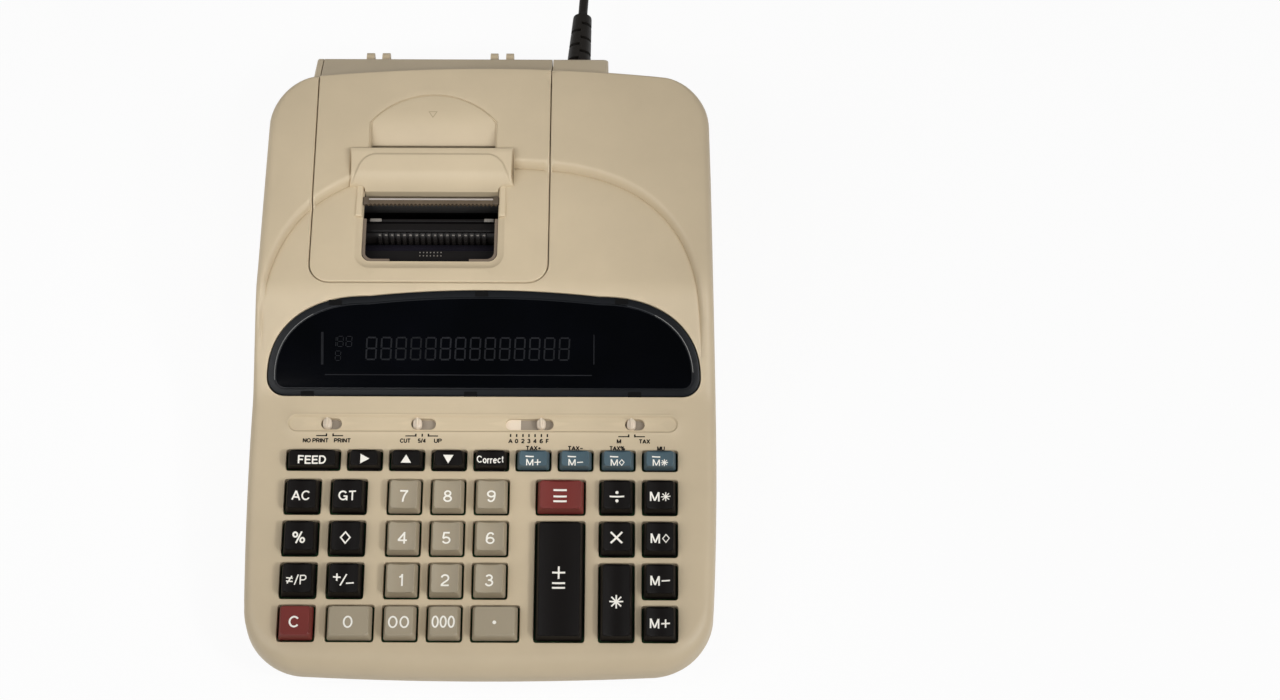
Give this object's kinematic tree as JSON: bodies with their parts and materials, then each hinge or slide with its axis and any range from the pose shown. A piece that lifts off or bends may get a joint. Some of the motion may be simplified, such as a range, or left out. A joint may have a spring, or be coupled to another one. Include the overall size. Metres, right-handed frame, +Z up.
{
  "type": "desktop printing calculator",
  "caption": "Beige desktop calculator with a sloping keyboard, dark display lens, slide switches, a built-in printer under a hinged cover and a mains cord.",
  "frame": {"origin": "on the table, under the middle of the machine's length and width", "axes": "+X to the right as seen by the user, +Y to the rear, +Z up"},
  "size_m": [0.2296, 0.4981, 0.0808],
  "materials": {
    "case": "fine-grained beige moulded plastic",
    "key_black": "satin black plastic with white legends",
    "key_grey": "satin warm grey plastic with white legends",
    "key_red": "satin dull red plastic with white legends",
    "key_blue": "satin slate blue plastic with white legends",
    "knob": "pale moulded plastic",
    "tear_bar": "smoky translucent plastic",
    "lens": "polished dark acrylic",
    "tube": "dark glass display tube",
    "board": "green fibreglass board",
    "switch": "black moulded switch housings",
    "steel": "zinc-plated steel",
    "drum": "dark moulded type wheels",
    "roller": "black rubber",
    "ink": "ink-soaked foam",
    "foot": "black rubber",
    "cord": "black flexible PVC",
    "plug": "black moulded plug with plated pins"
  },
  "bodies": {
    "base": {"upper_case": "case", "lower_case": "case", "display_lens": "lens", "display_tube": "tube", "circuit_boards": "board", "key_switches": "switch", "printer_frame": "steel", "screws": "steel", "feet": "foot", "strain_relief": "cord", "cord": "cord", "cord_coil": "cord", "plug": "plug"},
    "cover": {"printer_cover": "case", "tear_bar": "tear_bar"},
    "key_feed": {"key_feed": "key_black"},
    "key_replay": {"key_replay": "key_black"},
    "key_step_up": {"key_step_up": "key_black"},
    "key_step_down": {"key_step_down": "key_black"},
    "key_correct": {"key_correct": "key_black"},
    "key_all_clear": {"key_all_clear": "key_black"},
    "key_grand_total": {"key_grand_total": "key_black"},
    "key_divide": {"key_divide": "key_black"},
    "key_memory_total": {"key_memory_total": "key_black"},
    "key_percent": {"key_percent": "key_black"},
    "key_subtotal": {"key_subtotal": "key_black"},
    "key_plus_equals": {"key_plus_equals": "key_black"},
    "key_multiply": {"key_multiply": "key_black"},
    "key_memory_subtotal": {"key_memory_subtotal": "key_black"},
    "key_number_print": {"key_number_print": "key_black"},
    "key_sign": {"key_sign": "key_black"},
    "key_total": {"key_total": "key_black"},
    "key_memory_minus": {"key_memory_minus": "key_black"},
    "key_memory_plus": {"key_memory_plus": "key_black"},
    "key_store_plus": {"key_store_plus": "key_blue"},
    "key_store_minus": {"key_store_minus": "key_blue"},
    "key_store_subtotal": {"key_store_subtotal": "key_blue"},
    "key_store_total": {"key_store_total": "key_blue"},
    "key_7": {"key_7": "key_grey"},
    "key_8": {"key_8": "key_grey"},
    "key_9": {"key_9": "key_grey"},
    "key_4": {"key_4": "key_grey"},
    "key_5": {"key_5": "key_grey"},
    "key_6": {"key_6": "key_grey"},
    "key_1": {"key_1": "key_grey"},
    "key_2": {"key_2": "key_grey"},
    "key_3": {"key_3": "key_grey"},
    "key_0": {"key_0": "key_grey"},
    "key_00": {"key_00": "key_grey"},
    "key_000": {"key_000": "key_grey"},
    "key_point": {"key_point": "key_grey"},
    "key_minus_equals": {"key_minus_equals": "key_red"},
    "key_clear": {"key_clear": "key_red"},
    "knob_print": {"knob_print": "knob"},
    "knob_rounding": {"knob_rounding": "knob"},
    "knob_decimal": {"knob_decimal": "knob"},
    "knob_tax": {"knob_tax": "knob"},
    "type_drum": {"type_drum": "drum"},
    "feed_roller": {"feed_roller": "roller"},
    "ink_roller": {"ink_roller": "ink"}
  },
  "joints": [
    {"name": "cover_hinge", "type": "hinge", "parent": "base", "child": "cover", "pos_m": [-0.02785, 0.15162, 0.06263], "axis": [-1, 0, 0], "range_deg": [0, 75]},
    {"name": "key_feed_press", "type": "slide", "parent": "base", "child": "key_feed", "axis": [0, 0.1132, -0.9936], "range_m": [0, 0.003], "stiffness_N_per_m": 300, "springref_m": -0.001},
    {"name": "key_replay_press", "type": "slide", "parent": "base", "child": "key_replay", "axis": [0, 0.1132, -0.9936], "range_m": [0, 0.003], "stiffness_N_per_m": 300, "springref_m": -0.001},
    {"name": "key_step_up_press", "type": "slide", "parent": "base", "child": "key_step_up", "axis": [0, 0.1132, -0.9936], "range_m": [0, 0.003], "stiffness_N_per_m": 300, "springref_m": -0.001},
    {"name": "key_step_down_press", "type": "slide", "parent": "base", "child": "key_step_down", "axis": [0, 0.1132, -0.9936], "range_m": [0, 0.003], "stiffness_N_per_m": 300, "springref_m": -0.001},
    {"name": "key_correct_press", "type": "slide", "parent": "base", "child": "key_correct", "axis": [0, 0.1132, -0.9936], "range_m": [0, 0.003], "stiffness_N_per_m": 300, "springref_m": -0.001},
    {"name": "key_all_clear_press", "type": "slide", "parent": "base", "child": "key_all_clear", "axis": [0, 0.1132, -0.9936], "range_m": [0, 0.003], "stiffness_N_per_m": 300, "springref_m": -0.001},
    {"name": "key_grand_total_press", "type": "slide", "parent": "base", "child": "key_grand_total", "axis": [0, 0.1132, -0.9936], "range_m": [0, 0.003], "stiffness_N_per_m": 300, "springref_m": -0.001},
    {"name": "key_divide_press", "type": "slide", "parent": "base", "child": "key_divide", "axis": [0, 0.1132, -0.9936], "range_m": [0, 0.003], "stiffness_N_per_m": 300, "springref_m": -0.001},
    {"name": "key_memory_total_press", "type": "slide", "parent": "base", "child": "key_memory_total", "axis": [0, 0.1132, -0.9936], "range_m": [0, 0.003], "stiffness_N_per_m": 300, "springref_m": -0.001},
    {"name": "key_percent_press", "type": "slide", "parent": "base", "child": "key_percent", "axis": [0, 0.1132, -0.9936], "range_m": [0, 0.003], "stiffness_N_per_m": 300, "springref_m": -0.001},
    {"name": "key_subtotal_press", "type": "slide", "parent": "base", "child": "key_subtotal", "axis": [0, 0.1132, -0.9936], "range_m": [0, 0.003], "stiffness_N_per_m": 300, "springref_m": -0.001},
    {"name": "key_plus_equals_press", "type": "slide", "parent": "base", "child": "key_plus_equals", "axis": [0, 0.1132, -0.9936], "range_m": [0, 0.003], "stiffness_N_per_m": 300, "springref_m": -0.001},
    {"name": "key_multiply_press", "type": "slide", "parent": "base", "child": "key_multiply", "axis": [0, 0.1132, -0.9936], "range_m": [0, 0.003], "stiffness_N_per_m": 300, "springref_m": -0.001},
    {"name": "key_memory_subtotal_press", "type": "slide", "parent": "base", "child": "key_memory_subtotal", "axis": [0, 0.1132, -0.9936], "range_m": [0, 0.003], "stiffness_N_per_m": 300, "springref_m": -0.001},
    {"name": "key_number_print_press", "type": "slide", "parent": "base", "child": "key_number_print", "axis": [0, 0.1132, -0.9936], "range_m": [0, 0.003], "stiffness_N_per_m": 300, "springref_m": -0.001},
    {"name": "key_sign_press", "type": "slide", "parent": "base", "child": "key_sign", "axis": [0, 0.1132, -0.9936], "range_m": [0, 0.003], "stiffness_N_per_m": 300, "springref_m": -0.001},
    {"name": "key_total_press", "type": "slide", "parent": "base", "child": "key_total", "axis": [0, 0.1132, -0.9936], "range_m": [0, 0.003], "stiffness_N_per_m": 300, "springref_m": -0.001},
    {"name": "key_memory_minus_press", "type": "slide", "parent": "base", "child": "key_memory_minus", "axis": [0, 0.1132, -0.9936], "range_m": [0, 0.003], "stiffness_N_per_m": 300, "springref_m": -0.001},
    {"name": "key_memory_plus_press", "type": "slide", "parent": "base", "child": "key_memory_plus", "axis": [0, 0.1132, -0.9936], "range_m": [0, 0.003], "stiffness_N_per_m": 300, "springref_m": -0.001},
    {"name": "key_store_plus_press", "type": "slide", "parent": "base", "child": "key_store_plus", "axis": [0, 0.1132, -0.9936], "range_m": [0, 0.003], "stiffness_N_per_m": 300, "springref_m": -0.001},
    {"name": "key_store_minus_press", "type": "slide", "parent": "base", "child": "key_store_minus", "axis": [0, 0.1132, -0.9936], "range_m": [0, 0.003], "stiffness_N_per_m": 300, "springref_m": -0.001},
    {"name": "key_store_subtotal_press", "type": "slide", "parent": "base", "child": "key_store_subtotal", "axis": [0, 0.1132, -0.9936], "range_m": [0, 0.003], "stiffness_N_per_m": 300, "springref_m": -0.001},
    {"name": "key_store_total_press", "type": "slide", "parent": "base", "child": "key_store_total", "axis": [0, 0.1132, -0.9936], "range_m": [0, 0.003], "stiffness_N_per_m": 300, "springref_m": -0.001},
    {"name": "key_7_press", "type": "slide", "parent": "base", "child": "key_7", "axis": [0, 0.1132, -0.9936], "range_m": [0, 0.003], "stiffness_N_per_m": 300, "springref_m": -0.001},
    {"name": "key_8_press", "type": "slide", "parent": "base", "child": "key_8", "axis": [0, 0.1132, -0.9936], "range_m": [0, 0.003], "stiffness_N_per_m": 300, "springref_m": -0.001},
    {"name": "key_9_press", "type": "slide", "parent": "base", "child": "key_9", "axis": [0, 0.1132, -0.9936], "range_m": [0, 0.003], "stiffness_N_per_m": 300, "springref_m": -0.001},
    {"name": "key_4_press", "type": "slide", "parent": "base", "child": "key_4", "axis": [0, 0.1132, -0.9936], "range_m": [0, 0.003], "stiffness_N_per_m": 300, "springref_m": -0.001},
    {"name": "key_5_press", "type": "slide", "parent": "base", "child": "key_5", "axis": [0, 0.1132, -0.9936], "range_m": [0, 0.003], "stiffness_N_per_m": 300, "springref_m": -0.001},
    {"name": "key_6_press", "type": "slide", "parent": "base", "child": "key_6", "axis": [0, 0.1132, -0.9936], "range_m": [0, 0.003], "stiffness_N_per_m": 300, "springref_m": -0.001},
    {"name": "key_1_press", "type": "slide", "parent": "base", "child": "key_1", "axis": [0, 0.1132, -0.9936], "range_m": [0, 0.003], "stiffness_N_per_m": 300, "springref_m": -0.001},
    {"name": "key_2_press", "type": "slide", "parent": "base", "child": "key_2", "axis": [0, 0.1132, -0.9936], "range_m": [0, 0.003], "stiffness_N_per_m": 300, "springref_m": -0.001},
    {"name": "key_3_press", "type": "slide", "parent": "base", "child": "key_3", "axis": [0, 0.1132, -0.9936], "range_m": [0, 0.003], "stiffness_N_per_m": 300, "springref_m": -0.001},
    {"name": "key_0_press", "type": "slide", "parent": "base", "child": "key_0", "axis": [0, 0.1132, -0.9936], "range_m": [0, 0.003], "stiffness_N_per_m": 300, "springref_m": -0.001},
    {"name": "key_00_press", "type": "slide", "parent": "base", "child": "key_00", "axis": [0, 0.1132, -0.9936], "range_m": [0, 0.003], "stiffness_N_per_m": 300, "springref_m": -0.001},
    {"name": "key_000_press", "type": "slide", "parent": "base", "child": "key_000", "axis": [0, 0.1132, -0.9936], "range_m": [0, 0.003], "stiffness_N_per_m": 300, "springref_m": -0.001},
    {"name": "key_point_press", "type": "slide", "parent": "base", "child": "key_point", "axis": [0, 0.1132, -0.9936], "range_m": [0, 0.003], "stiffness_N_per_m": 300, "springref_m": -0.001},
    {"name": "key_minus_equals_press", "type": "slide", "parent": "base", "child": "key_minus_equals", "axis": [0, 0.1132, -0.9936], "range_m": [0, 0.003], "stiffness_N_per_m": 300, "springref_m": -0.001},
    {"name": "key_clear_press", "type": "slide", "parent": "base", "child": "key_clear", "axis": [0, 0.1132, -0.9936], "range_m": [0, 0.003], "stiffness_N_per_m": 300, "springref_m": -0.001},
    {"name": "knob_print_slide", "type": "slide", "parent": "base", "child": "knob_print", "axis": [1, 0, 0], "range_m": [0, 0.004]},
    {"name": "knob_rounding_slide", "type": "slide", "parent": "base", "child": "knob_rounding", "axis": [1, 0, 0], "range_m": [0, 0.006]},
    {"name": "knob_decimal_slide", "type": "slide", "parent": "base", "child": "knob_decimal", "axis": [1, 0, 0], "range_m": [-0.0145, 0.003]},
    {"name": "knob_tax_slide", "type": "slide", "parent": "base", "child": "knob_tax", "axis": [1, 0, 0], "range_m": [0, 0.0035]},
    {"name": "type_drum_spin", "type": "hinge", "parent": "base", "child": "type_drum", "pos_m": [-0.02785, 0.05927, 0.05058], "axis": [1, 0, 0], "continuous": true},
    {"name": "feed_roller_spin", "type": "hinge", "parent": "base", "child": "feed_roller", "pos_m": [-0.02785, 0.07577, 0.05458], "axis": [1, 0, 0], "continuous": true},
    {"name": "ink_roller_spin", "type": "hinge", "parent": "base", "child": "ink_roller", "pos_m": [-0.02785, 0.04547, 0.05058], "axis": [1, 0, 0], "continuous": true}
  ],
  "couplings": [
    {"joint": "ink_roller_spin", "follows": "type_drum_spin", "ratio": -1.0769}
  ]
}
